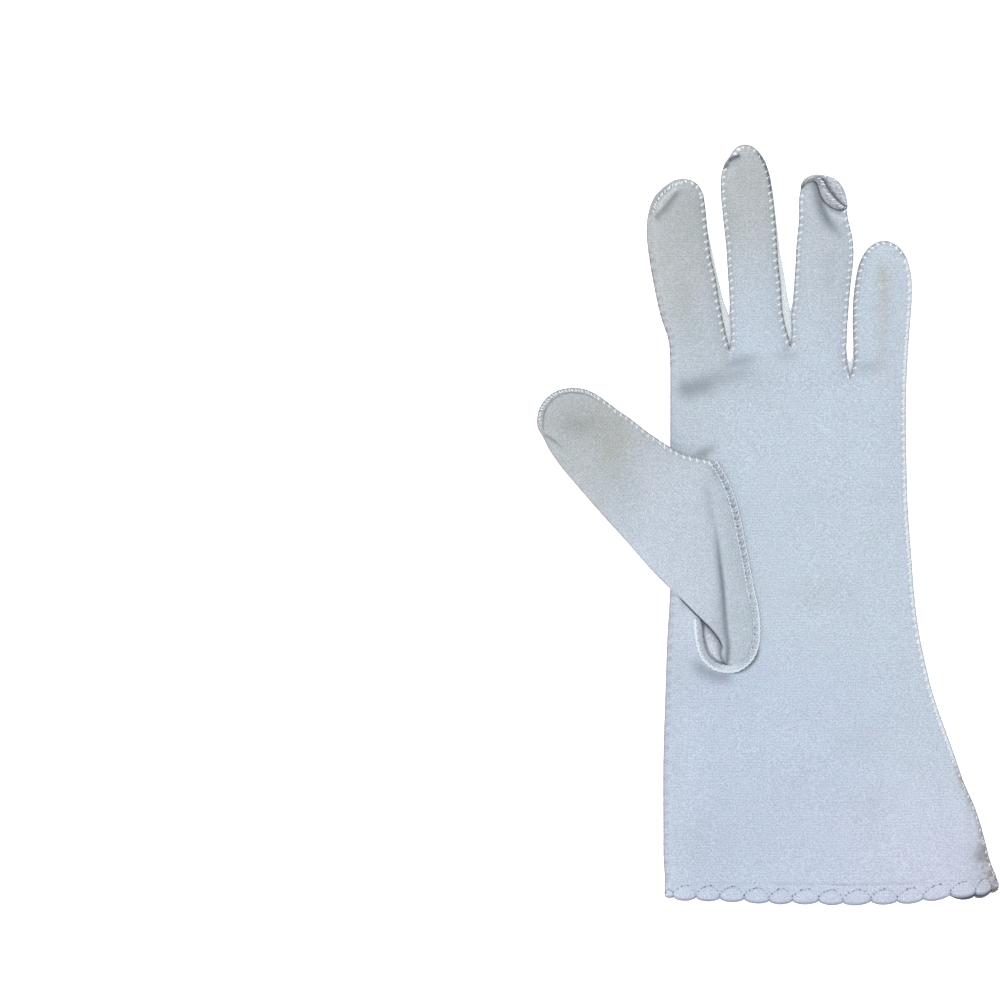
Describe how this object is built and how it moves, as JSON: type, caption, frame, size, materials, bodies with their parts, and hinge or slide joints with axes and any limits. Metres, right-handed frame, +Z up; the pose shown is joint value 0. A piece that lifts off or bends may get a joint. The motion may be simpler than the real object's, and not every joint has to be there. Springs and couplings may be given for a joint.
{
  "type": "cloth dress glove",
  "caption": "Left-hand dress glove of thin knitted cloth, laid flat palm up, with an inset thumb, side strips between the fingers and a shell-edged opening for the wrist.",
  "frame": {"origin": "in the middle of the surface that the glove lies on, under the middle of its bounding box", "axes": "+X towards the little finger, +Y towards the fingertips, +Z up out of the palm"},
  "size_m": [0.154, 0.2538, 0.0141],
  "materials": {
    "palm_cloth": "fine pale blue-grey knit with a soft sheen",
    "thumb_cloth": "the same knit cut on the slant, a little soiled at the tip",
    "strip_cloth": "the same knit",
    "hem_cloth": "the same knit turned double and stitched in shells"
  },
  "bodies": {
    "root": {"trank": "palm_cloth", "thumb": "thumb_cloth", "fourchette_index_middle": "strip_cloth", "fourchette_middle_ring": "strip_cloth", "fourchette_ring_little": "strip_cloth", "scalloped_hem": "hem_cloth"}
  },
  "joints": []
}
